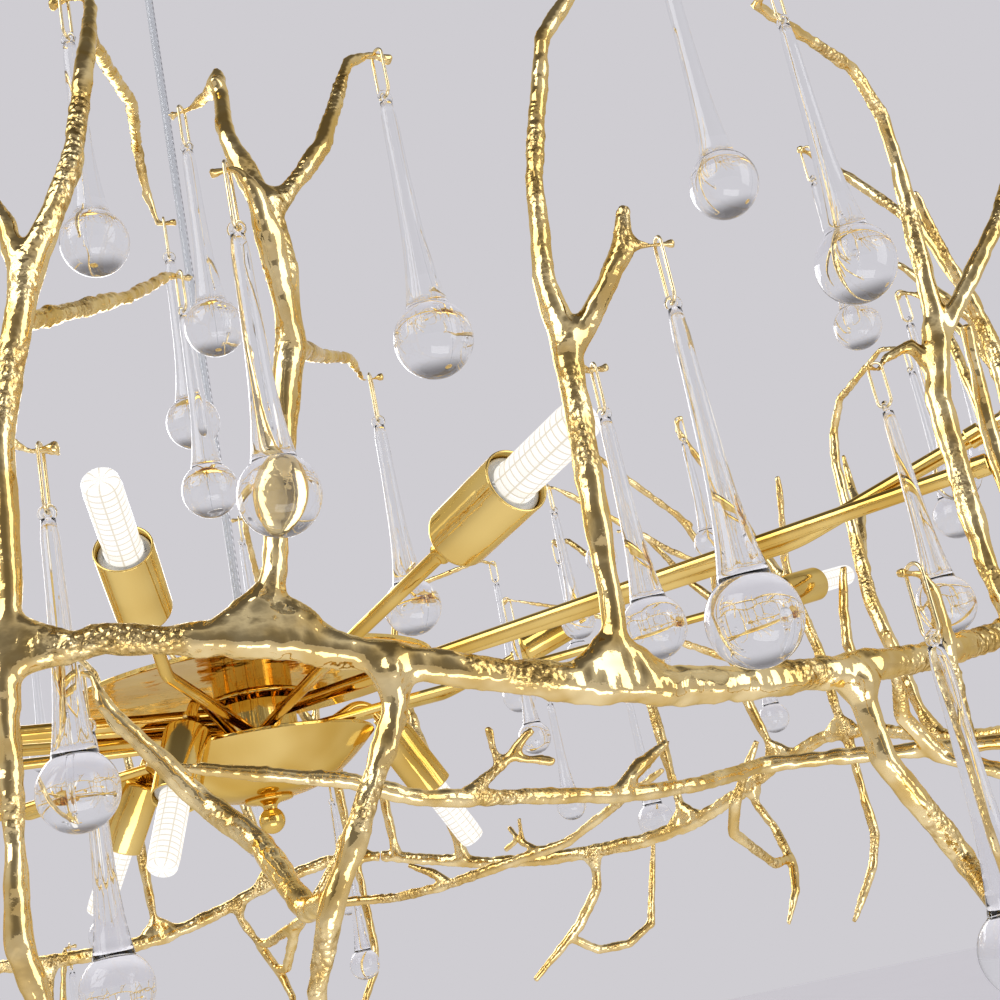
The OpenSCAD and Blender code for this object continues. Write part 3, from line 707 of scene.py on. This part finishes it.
# cast branches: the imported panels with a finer, rounded and pebbled skin
branches = {
    "voxel": 1.2 * mm,
    "passes": 7,
    "ringSwell": -0.2 * mm,
    "twigSwell": 0.45 * mm,
    "lumpScale": 62.0,
    "lumpHeight": 0.9 * mm,
    "ridgeHeight": 0.55 * mm,
    "pebbleScale": 330.0,
    "pebbleHeight": 0.5 * mm,
}


def makeBranches():
    for number in range(1, 7):
        mesh = nodes[f"branch_panel_{number}"].data.copy()
        tidyMesh(mesh, 180)
        source = newPiece("branchSource", mesh)
        voxels = source.modifiers.new("voxels", "REMESH")
        voxels.mode = "VOXEL"
        voxels.voxel_size = branches["voxel"]
        voxels.use_smooth_shade = True
        piece = grown(f"branches{number}", source, skinTree, {
            "Passes": branches["passes"],
            "Ring Swell": branches["ringSwell"],
            "Twig Swell": branches["twigSwell"],
            "Ring Radius": ringRadius,
            "Ring Level": -ringDrop,
            "Lump Scale": branches["lumpScale"],
            "Lump Height": branches["lumpHeight"],
            "Ridge Height": branches["ridgeHeight"],
            "Pebble Scale": branches["pebbleScale"],
            "Pebble Height": branches["pebbleHeight"],
            "Patch Scale": casting["patchScale"],
        }, castGold)
        piece.data.shade_smooth()
        standsFor(piece, "fixture", f"branch_panel_{number}")
        print("branches", number, len(piece.data.polygons), "faces")


makeBranches()


# glass drops and their wire links
drops = {
    "small": 24.0,
    "middle": 27.0,
    "large": 30.0,
    "stemRatio": 3.52,  # from the link's bend to the middle of the ball, in ball diameters
    "shoulder": 35,  # angle from the top of the ball to where the stem leaves it
    "eyeHole": 2.2,
    "eyeWall": 1.9,
    "linkWire": 1.2,
    "linkWidth": 5.0,
    "neck": 3.4,  # thickness of the twig end that carries the link
    "gap": 0.3,
}
hangingPlaces = {
    # ball, angle, outside, height of the link's lower bend, length of the link
    "crownA": ("small", 6.6, -59, 264, 17),
    "crownB": ("small", 12.3, -139, 264, 17),
    "postA": ("small", 13.0, 17, 136, 20),
    "postB": ("small", 25.9, -175, 147, 20),
    "forkA": ("middle", 21.6, -31, 212, 17),
    "forkB": ("small", 10.0, -187, 212, 17),
    "topA": ("small", 34.0, 19, 236, 17),
    "topB": ("large", 41.7, 16, 236, 17),
    "largeA": ("large", 29.6, 20, 104, 21),
    "largeB": ("small", 33.4, -68, 104, 18),
    "innerA": ("small", 9.0, -218, 256, 18),
    "sideA": ("small", 50.2, -24, 98, 17),
    "outerA": ("small", 32.1, 66, -22, 19),
    "lowA": ("small", 2.5, -84, 17, 18),
    "rimA": ("small", 4.1, -22, 71, 20),
}
pairedKinds = ("crown", "post", "fork", "top", "large")
singleKinds = ("inner", "side", "outer", "low", "rim")


def dropMesh(name, size):
    # the link's lower bend is at the origin, and the drop hangs below it
    ballLow = drops["stemRatio"] * size
    eyeRadius = (drops["eyeHole"] + drops["eyeWall"]) / 2
    eyeLow = drops["eyeHole"] / 2 - drops["linkWire"] / 2 - drops["gap"]
    topRadius = drops["eyeHole"] / 2 + drops["eyeWall"] - 0.3
    stemTop = -eyeLow - eyeRadius - drops["eyeWall"] / 2 + 0.9
    shoulder = math.radians(drops["shoulder"])
    jointRadius = size / 2 * math.sin(shoulder)
    jointLevel = -ballLow + size / 2 * math.cos(shoulder)
    profile = [(0, stemTop)]
    for t in np.linspace(0, 1, 25):
        swell = 0.3 * t + 0.7 * t ** 5
        ripple = 0.05 * math.sin(17 * t) * (1 - t)
        radius = topRadius + (jointRadius - topRadius) * swell + ripple
        profile.append((radius * min(1, 0.82 + 2.2 * t), stemTop + (jointLevel - stemTop) * t))
    profile += [(x, y - ballLow) for x, y in rounded((0, 0), size / 2, 52, -90, 30)]
    stem = newPiece("stem", spunMesh("stem", profile, 48, 180))
    ring = []
    for i in range(33):
        a = 2 * math.pi * i / 32
        ring.append((0, eyeRadius * mm * math.sin(a), (eyeRadius * math.cos(a) - eyeLow) * mm))
    eye = tubes("eye", [ring], drops["eyeWall"] / 2 * mm, 16, clearGlass)
    union = stem.modifiers.new("union", "BOOLEAN")
    union.operation = "UNION"
    union.solver = "EXACT"
    union.object = eye
    shown = stem.evaluated_get(bpy.context.evaluated_depsgraph_get())
    mesh = bpy.data.meshes.new_from_object(shown)
    mesh.name = name
    bpy.data.objects.remove(stem)
    bpy.data.objects.remove(eye)
    tidyMesh(mesh, 180)
    return mesh


def pivotOf(place):
    _, az, outside, height, _ = place
    return cagePoint(az, height, outside)


def axisOf(one, other):
    gap = pivotOf(other) - pivotOf(one)
    return Vector((gap.x, gap.y, 0)).normalized()


def hungMatrix(place, axis, panel):
    upright = Matrix(((axis.x, -axis.y, 0), (axis.y, axis.x, 0), (0, 0, 1))).to_4x4()
    local = Matrix.Translation(pivotOf(place)) @ upright
    return Matrix.Rotation(math.radians(60 * (panel - 1)), 4, "Z") @ local


def hungDrops():
    # every drop: its body, its ball, the length of its link, and its place and turn
    rows = []
    for kind in pairedKinds:
        one, other = hangingPlaces[kind + "A"], hangingPlaces[kind + "B"]
        axis = axisOf(one, other)
        for panel in range(1, 7):
            body = f"{kind}_drops_{panel}"
            rows.append((body, one[0], one[4], hungMatrix(one, axis, panel)))
            if panel % 2 == 1 or kind == "top":
                rows.append((body, other[0], other[4], hungMatrix(other, axis, panel)))
    for kind in singleKinds:
        place = hangingPlaces[kind + "A"]
        for panel in (1, 4):
            matrix = hungMatrix(place, outDir(place[1]), panel)
            rows.append((f"{kind}_drops", place[0], place[4], matrix))
    return rows


def linkPath(length, matrix):
    r = (drops["linkWidth"] + drops["linkWire"]) / 2
    straight = length + drops["neck"] / 2 + drops["gap"] + drops["linkWire"] / 2 - 2 * r
    path = rounded((0, r), r, 180, 360, 12) + rounded((0, r + straight), r, 0, 180, 12)
    path.append(path[0])
    return [matrix @ Vector((x * mm, 0, y * mm)) for x, y in path]


def makeDrops():
    rows = hungDrops()
    meshes = {ball: dropMesh(ball + "Drop", drops[ball]) for ball in ("small", "middle", "large")}
    for body in sorted({row[0] for row in rows}):
        mine = [row for row in rows if row[0] == body]
        parts = []
        for ball in sorted({row[1] for row in mine}):
            spots = [row[3] for row in mine if row[1] == ball]
            parts.append(copies(f"{ball}Part", meshes[ball].copy(), spots, clearGlass))
        standsFor(joined("glass_" + body, parts), body, body)
    paths = [linkPath(length, matrix) for _, _, length, matrix in rows]
    links = tubes("dropLinks", paths, drops["linkWire"] / 2 * mm, 12, wireGold)
    standsFor(links, "fixture", "drop_links")
    print("drops hang:", len(rows))


makeDrops()


# lamps on tube arms
lampSizes = {
    "tube": 6.0,
    "bend": 26.0,
    "shortBend": 14.0,
    "sleeve": 25.0,
    "sleeveLength": 44.0,
    "wall": 1.0,
    "bulb": 16.5,
    "reach": 42.0,
    "cellsAround": 8,
    "wrapLength": 5.2,  # length of bulb for one unit of its UV map
    "neck": 11.0,
    "neckWall": 1.4,
    "inset": 3.0,
    "socketHeight": 16.0,
    "screwSide": 7.4,
    "column": 46.0,
    "upperLevel": 66,  # height at which the arms of the upper lamps leave the column
    "lowerLevel": 57,
}
lampPlaces = [
    # angle, reach and height of the mouth; angle and rise of the axis; straight tube behind the neck
    ((2.1, 275, 105), (7, 24), 36),
    ((25.7, 397, 72.6), (37.9, 9), 78),
    ((121, 446, 132), (130, 10), 62),
    ((149.6, 397, 164), (85, 18), 62),
    ((232, 330, 105), (230, 22), 40),
    ((262, 410, 74), (270, 12), 70),
    ((292, 300, 105), (290, 22), 40),
    ((324, 400, 72), (312, 10), 70),
    ((128, 112, 24), (128, -57), 15),
    ((246, 112, 24), (246, -57), 15),
    ((347, 112, 24), (347, -57), 15),
]


def lampAim(axis):
    az, rise = axis
    return outDir(az) * math.cos(math.radians(rise)) + Vector((0, 0, math.sin(math.radians(rise))))


def lampShoulder(mouth, axis):
    az, reach, height = mouth
    end = outDir(az) * (reach * mm) + Vector((0, 0, height * mm - ringDrop))
    return end - lampAim(axis) * (lampSizes["sleeveLength"] * mm)


def bentPath(start, corner, end, radius, steps):
    into, off = (corner - start).normalized(), (end - corner).normalized()
    turn = into.angle(off)
    reach = radius * math.tan(turn / 2)
    inward = (off - into * off.dot(into)).normalized()
    centre = corner - into * reach + inward * radius
    path = [start]
    for i in range(steps + 1):
        a = turn * i / steps
        path.append(centre + (into * math.sin(a) - inward * math.cos(a)) * radius)
    return path + [end]


def lampArmPath(mouth, axis, straight):
    aim, shoulder = lampAim(axis), lampShoulder(mouth, axis)
    corner = shoulder - aim * ((straight + lampSizes["neck"]) * mm)
    az = math.degrees(math.atan2(corner.x, -corner.y))
    hangs = axis[1] < 0
    level = lampSizes["lowerLevel" if hangs else "upperLevel"] * mm - ringDrop
    root = outDir(az) * ((lampSizes["column"] / 2 - 1) * mm) + Vector((0, 0, level))
    bend = lampSizes["shortBend" if hangs else "bend"] * mm
    return bentPath(root, corner, shoulder - aim * (lampSizes["neck"] * mm), bend, 16)


screw = {
    "slot": 0.3,  # half the width of the slot
    "slotFloor": 0.84,  # a share of the height, as the next one is
    "headFoot": 0.86,
    "chamfer": 0.9,
    "lip": 0.05,  # the slot's edge leans less than the rim
}


def screwHead(name, radius, height):
    # a round head with a cut slot, drawn along +Z from its seat
    slot = screw["slot"]
    work = bmesh.new()
    fromAngle = math.asin(slot / radius)
    edge = [
        (radius * mm * math.cos(a), radius * mm * math.sin(a))
        for a in np.linspace(fromAngle, math.pi - fromAngle, 13)
    ]
    for sign in (-1, 1):
        half = [(x, sign * y) for x, y in edge]
        bottom = [work.verts.new((x, y, height * screw["headFoot"] * mm)) for x, y in half]
        lip = sign * slot * screw["lip"] * mm
        top = [
            work.verts.new((x * screw["chamfer"], y * screw["chamfer"] + lip, height * mm))
            for x, y in half
        ]
        work.faces.new(top)
        work.faces.new(bottom[::-1])
        for i in range(len(half)):
            j = (i + 1) % len(half)
            work.faces.new((bottom[i], bottom[j], top[j], top[i]))
    rim = 24
    turns = [2 * math.pi * i / rim for i in range(rim)]
    low = [work.verts.new((radius * mm * math.cos(a), radius * mm * math.sin(a), 0)) for a in turns]
    high = [work.verts.new((v.co.x, v.co.y, height * screw["slotFloor"] * mm)) for v in low]
    work.faces.new(low[::-1])
    work.faces.new(high)
    for i in range(rim):
        j = (i + 1) % rim
        work.faces.new((low[i], low[j], high[j], high[i]))
    bmesh.ops.recalc_face_normals(work, faces=work.faces)
    mesh = bpy.data.meshes.new(name)
    work.to_mesh(mesh)
    work.free()
    mesh.shade_smooth()
    mesh.set_sharp_from_angle(angle=math.radians(30))
    return mesh


def makeLamps():
    # each profile runs along the lamp's axis, from the sleeve's shoulder at 0 to its mouth
    length, r = lampSizes["sleeveLength"], lampSizes["sleeve"] / 2
    wall, neck = lampSizes["wall"], lampSizes["neck"]
    foot = lampSizes["tube"] / 2 + lampSizes["neckWall"]
    places = [along(lampShoulder(mouth, axis), lampAim(axis)) for mouth, axis, _ in lampPlaces]

    paths = [lampArmPath(*lamp) for lamp in lampPlaces]
    arms = tubes("lampArms", paths, lampSizes["tube"] / 2 * mm, 24, polishedGold)
    standsFor(arms, "fixture", "lamp_arms")

    sleeve = [(0, -neck), (foot - 0.4, -neck), (foot, -neck + 0.4), (foot, -neck + 4)]
    sleeve += [(foot + 0.6, -neck + 5.4), (foot + 2.2, -3), (foot + 3.6, -1), (foot + 4.5, -0.1)]
    sleeve += rounded((r - 4, 4), 4, -90, 0, 8)
    sleeve += [(r, length - 0.9)] + rounded((r - wall / 2, length - wall / 2), wall / 2, 0, 180, 6)
    sleeve += [(r - wall, 2), (0, 2)]
    piece = copies("lampSleeves", spunMesh("sleeve", sleeve, 64, 32), places, polishedGold)
    standsFor(piece, "fixture", "lamp_sleeves")

    face = length - lampSizes["inset"]
    body = r - wall - 0.3
    seat = (lampSizes["bulb"] - 5) / 2
    back = face - lampSizes["socketHeight"]
    socket = [(0, 2), (5, 2), (5, back), (body, back)]
    socket += rounded((body - 0.8, face - 0.8), 0.8, 0, 90, 4)
    socket += [(seat + 3.2, face), (seat + 3, face - 0.35), (seat + 0.3, face - 0.35), (seat, face - 0.7)]
    socket += [(seat, face - 6), (0, face - 6)]
    piece = copies("lampSockets", spunMesh("socket", socket, 48, 30), places, socketGlaze)
    standsFor(piece, "fixture", "lamp_sockets")

    radius, tip = lampSizes["bulb"] / 2, length + lampSizes["reach"]
    bulb = [(0, face - 5.7), (seat - 0.3, face - 5.7), (seat - 0.3, face + 0.3), (radius - 0.9, face + 0.3)]
    bulb += rounded((radius - 0.9, face + 1.2), 0.9, -90, 0, 4)
    bulb += [(radius, face + 3.2), (radius - 0.35, face + 3.6), (radius - 0.35, tip - 7)]
    bulb += [(radius - 0.5, tip - 5.4)] + rounded((radius - 3.2, tip - 2.5), 2.5, 12, 90, 7)
    bulb += [(radius - 5.2, tip - 0.25), (radius - 5.4, tip - 0.6)]
    bulb += [(radius - 6.1, tip - 0.6), (radius - 6.3, tip - 0.2), (0, tip - 0.05)]
    wrap = (lampSizes["cellsAround"], lampSizes["wrapLength"])
    piece = copies("capsuleBulbs", spunMesh("bulb", bulb, 48, 30, wrap), places, bulbLight)
    standsFor(piece, "fixture", "bulbs")

    head = screwHead("socketScrew", 1.5, 3)
    seats = [(side * mm, 0, (face - 3) * mm) for side in (-lampSizes["screwSide"], lampSizes["screwSide"])]
    spots = [m @ Matrix.Translation(place) for m in places for place in seats]
    piece = copies("socketScrews", head, spots, screwSteel)
    standsFor(piece, "fixture", "socket_screws")

    grub = screwHead("neckScrew", 1.25, foot + 0.4)
    toSide = Matrix.Translation((0, 1 * mm, -neck / 2 * mm)) @ Matrix.Rotation(math.radians(-90), 4, "X")
    piece = copies("neckScrews", grub, [m @ toSide for m in places], screwSteel)
    standsFor(piece, "fixture", "neck_screws")
    print("lamps stand:", len(places))


makeLamps()


# hub: upper plate, column, lower dish, finial and the long arms to the cage
hub = {
    "top": 100.0,
    "plate": 216.0,
    "boss": 26.0,
    "bossHeight": 12.0,
    "wall": 2.0,
    "dish": 132.0,
    "dishHeight": 30.0,
    "dishTop": 59.2,
    "dishFloor": 15.0,  # radius of its flat middle
    "column": 46.0,
    "ball": 15.0,
    "arm": 8.0,
    "armTurn": 3.5,  # angle of a pair of arms within its panel
    "armEnd": 434.0,
    "armBend": 90.0,
    "lowArm": (76, 85),  # heights of its root and end
    "highArm": (79, 80, 103),  # heights of its root, corner and end
    "highCorner": 335,
    "armPanels": (2, 4, 6),
}


def hubPiece(name, profile, around, node, angle):
    piece = newPiece(name, spunMesh(name, profile, around, angle), polishedGold)
    standsFor(piece, "fixture", node)


def beside(reach, height, side):
    # a point of an arm, which runs beside the line out of the hub's axis
    a = math.radians(hub["armTurn"])
    across = Vector((math.cos(a), math.sin(a), 0)) * (side * mm)
    return outDir(hub["armTurn"]) * (reach * mm) + across + Vector((0, 0, height * mm - ringDrop))


def makeUpperPlate(top):
    r, boss, bossTop = hub["plate"] / 2, hub["boss"] / 2, top + hub["bossHeight"]
    plate = [(0, top - 5), (r - 12, top - 5), (r - 3, top - 6.5), (r - 0.5, top - 6.5), (r, top - 6.1)]
    plate += [(r, top - 4.4), (r - 0.6, top - 4), (r - 10, top - 2.6), (r - 12, top - 2.2)]
    plate += [(boss + 30, top - 0.7), (boss + 14, top), (boss + 3.4, top), (boss + 2, top + 0.5)]
    plate += [(boss + 0.2, bossTop - 0.6), (boss - 0.6, bossTop), (0, bossTop)]
    hubPiece("hubUpperPlate", plate, 128, "hub_upper_plate", 12)


def makeColumn(low, high):
    c, foot = hub["column"] / 2, hub["dishFloor"] - 1
    rib = c + 7
    column = [(0, low), (foot, low), (foot, low + 9), (c - 1, low + 13.2), (c, low + 14.4)]
    column += [(c, high - 11.7), (c + 0.8, high - 11.2), (rib - 1.6, high - 10.1)]
    column += rounded((rib - 1.8, high - 8.3), 1.8, -90, 90, 8)
    column += [(c + 0.8, high - 5.5), (c, high - 4.9), (c, high), (0, high)]
    hubPiece("hubColumn", column, 96, "hub_column", 24)


def makeLowerDish(bottom):
    wall, r, base = hub["wall"], hub["dish"] / 2, hub["dishFloor"]
    rise = hub["dishHeight"] - wall
    outer = []
    for t in np.linspace(0, 1, 25):
        height = bottom + rise * (0.55 * t * t + 0.45 * t) - 2.8 * math.sin(math.pi * t)
        outer.append((base + (r - base) * t, height))
    dish = [(0, bottom)] + outer + [(r, bottom + rise + 1.2)]
    dish += rounded((r - 0.8, bottom + rise + 1.2), 0.8, 0, 180, 6)
    dish += [(x - 0.7, y + wall * 0.9) for x, y in outer[-2::-1]] + [(0, bottom + wall)]
    hubPiece("hubLowerDish", dish, 128, "hub_lower_dish", 30)


def makeFinial(top):
    ballRadius = hub["ball"] / 2
    finial = [(0, top), (14, top)] + rounded((13, top - 1), 1, 60, -60, 4)
    finial += [(12.4, top - 2.2), (6.4, top - 3.2), (4.6, top - 4.2), (4, top - 5.6)]
    finial += rounded((0, top - 7.4 - ballRadius + 2), ballRadius, 57, -90, 20)
    hubPiece("finial", finial, 64, "finial", 30)


def makeCageArms():
    radius = hub["arm"] / 2
    inner, outer, side = hub["column"] / 2 - 1, hub["armEnd"], radius + 1
    start, end = beside(inner, hub["lowArm"][0], -side), beside(outer, hub["lowArm"][1], -side)
    low = [start + (end - start) * t for t in (0, 0.34, 0.67, 1)]
    corners = [
        beside(reach, height, side)
        for reach, height in zip((inner, hub["highCorner"], outer), hub["highArm"])
    ]
    high = bentPath(*corners, hub["armBend"] * mm, 24)
    paths = []
    for panel in hub["armPanels"]:
        spin = Matrix.Rotation(math.radians(60 * (panel - 1)), 3, "Z")
        paths += [[spin @ p for p in low], [spin @ p for p in high]]
    arms = tubes("cageArms", paths, radius * mm, 32, polishedGold)
    ferrule = radius + 1.2
    collar = [(radius - 0.2, -7), (ferrule - 0.4, -7), (ferrule, -6.6), (ferrule, -0.4)]
    collar += [(ferrule - 0.4, 0), (0.01, 0)]
    spots = [along(path[-1], (path[-1] - path[-2]).normalized()) for path in paths]
    ferrules = copies("ferrules", spunMesh("ferrule", collar, 32, 30), spots, polishedGold)
    piece = joined("cageArmsAndFerrules", [arms, ferrules])
    piece.data.set_sharp_from_angle(angle=math.radians(40))
    standsFor(piece, "fixture", "cage_arms")


def makeHub():
    zero = -ringDrop / mm
    plateTop = zero + hub["top"]
    dishBottom = zero + hub["dishTop"] - hub["dishHeight"]
    makeUpperPlate(plateTop)
    makeColumn(dishBottom + hub["wall"], plateTop - 5)
    makeLowerDish(dishBottom)
    makeFinial(dishBottom)
    makeCageArms()
    print("hub built")


makeHub()


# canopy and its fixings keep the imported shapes
def finishPacked():
    for name, material in (
        ("ceiling_crossbar", barSteel),
        ("canopy", polishedGold),
        ("canopy_screws", polishedGold),
        ("cord_grips", polishedGold),
    ):
        mesh = nodes[name].data
        mesh.materials.clear()
        mesh.materials.append(material)


finishPacked()


# studio: pale floor and air, and large soft lamps
studio = {
    "pale": (0.624, 0.610, 0.644),
    "dim": (0.14, 0.13, 0.13),  # the dark room above and behind the camera
    "dimAbove": (0.62, 0.92),
    "dimBehind": (0.55, 0.98),
    "floorTones": ((0.72, 0.71, 0.74), (0.70, 0.69, 0.72)),
    "floorGlow": 0.46,
    "floorLevel": -2.3,
    "floorHalf": 24,
    "air": 1.0,
    "middle": (0, 0, -0.75),  # what the lamps point at
}
softLamps = [
    # name, place, width and height, power
    ("keyLamp", (-1.6, -1.7, 0.9), (2.2, 2.2), 40),
    ("fillLamp", (2.2, -1.2, -0.4), (1.2, 2.2), 16),
    ("backLamp", (-1.2, 2.2, 0.3), (2.2, 1.0), 24),
    ("lowLamp", (0.5, -1.3, -2.1), (1.6, 0.7), 9),
]


def makeFloor():
    half, z = studio["floorHalf"], studio["floorLevel"]
    corners = [(-half, -half, z), (half, -half, z), (half, half, z), (-half, half, z)]
    mesh = bpy.data.meshes.new("floor")
    mesh.from_pydata(corners, [], [(0, 1, 2, 3)])
    material, tree, shader, where = newMaterial("paleFloor")
    # the pale tone of the floor in the picture, in metal and through glass; it lights nothing else
    rays = addNode(tree, "ShaderNodeLightPath").outputs
    seen = larger(tree, rays["Is Camera Ray"], rays["Is Glossy Ray"])
    seen = larger(tree, seen, rays["Is Transmission Ray"])
    setShader(tree, shader, {
        "Base Color": clouded(tree, where.outputs["Object"], 1.2, 3, *studio["floorTones"]),
        "Roughness": 0.8,
        "Emission Color": studio["pale"],
        "Emission Strength": times(tree, seen, studio["floorGlow"]),
    })
    newPiece("floor", mesh, material)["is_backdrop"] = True


def makeAir():
    world = bpy.data.worlds.new("air")
    scene.world = world
    world.use_nodes = True
    tree = world.node_tree
    side = addNode(tree, "ShaderNodeSeparateXYZ")
    tree.links.new(addNode(tree, "ShaderNodeTexCoord").outputs["Generated"], side.inputs[0])
    over = spread(tree, side.outputs[2], 0, 1, *studio["dimAbove"])
    behind = spread(tree, times(tree, side.outputs[1], -1), 0, 0.85, *studio["dimBehind"])
    tone = mixColours(tree, larger(tree, over, behind), studio["pale"], studio["dim"])
    back = tree.nodes["Background"]
    tree.links.new(tone, back.inputs["Color"])
    back.inputs["Strength"].default_value = studio["air"]


def makeSoftLamps():
    for name, place, size, power in softLamps:
        data = bpy.data.lights.new(name, "AREA")
        data.shape = "RECTANGLE"
        data.size, data.size_y = size
        data.energy = power
        lamp = bpy.data.objects.new(name, data)
        lamp.location = place
        aim = Vector(studio["middle"]) - Vector(place)
        lamp.rotation_euler = aim.to_track_quat("-Z", "Y").to_euler()
        lamp.visible_camera = False
        lamp.visible_transmission = False  # no panes of white inside the glass
        scene.collection.objects.link(lamp)


makeFloor()
makeAir()
makeSoftLamps()
print("studio lit")

scene.view_settings.view_transform = "Standard"
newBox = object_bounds()
for label, box in (("cad", cadBox), ("visual", newBox)):
    print("size", label, [[round(v, 4) for v in corner] for corner in box])
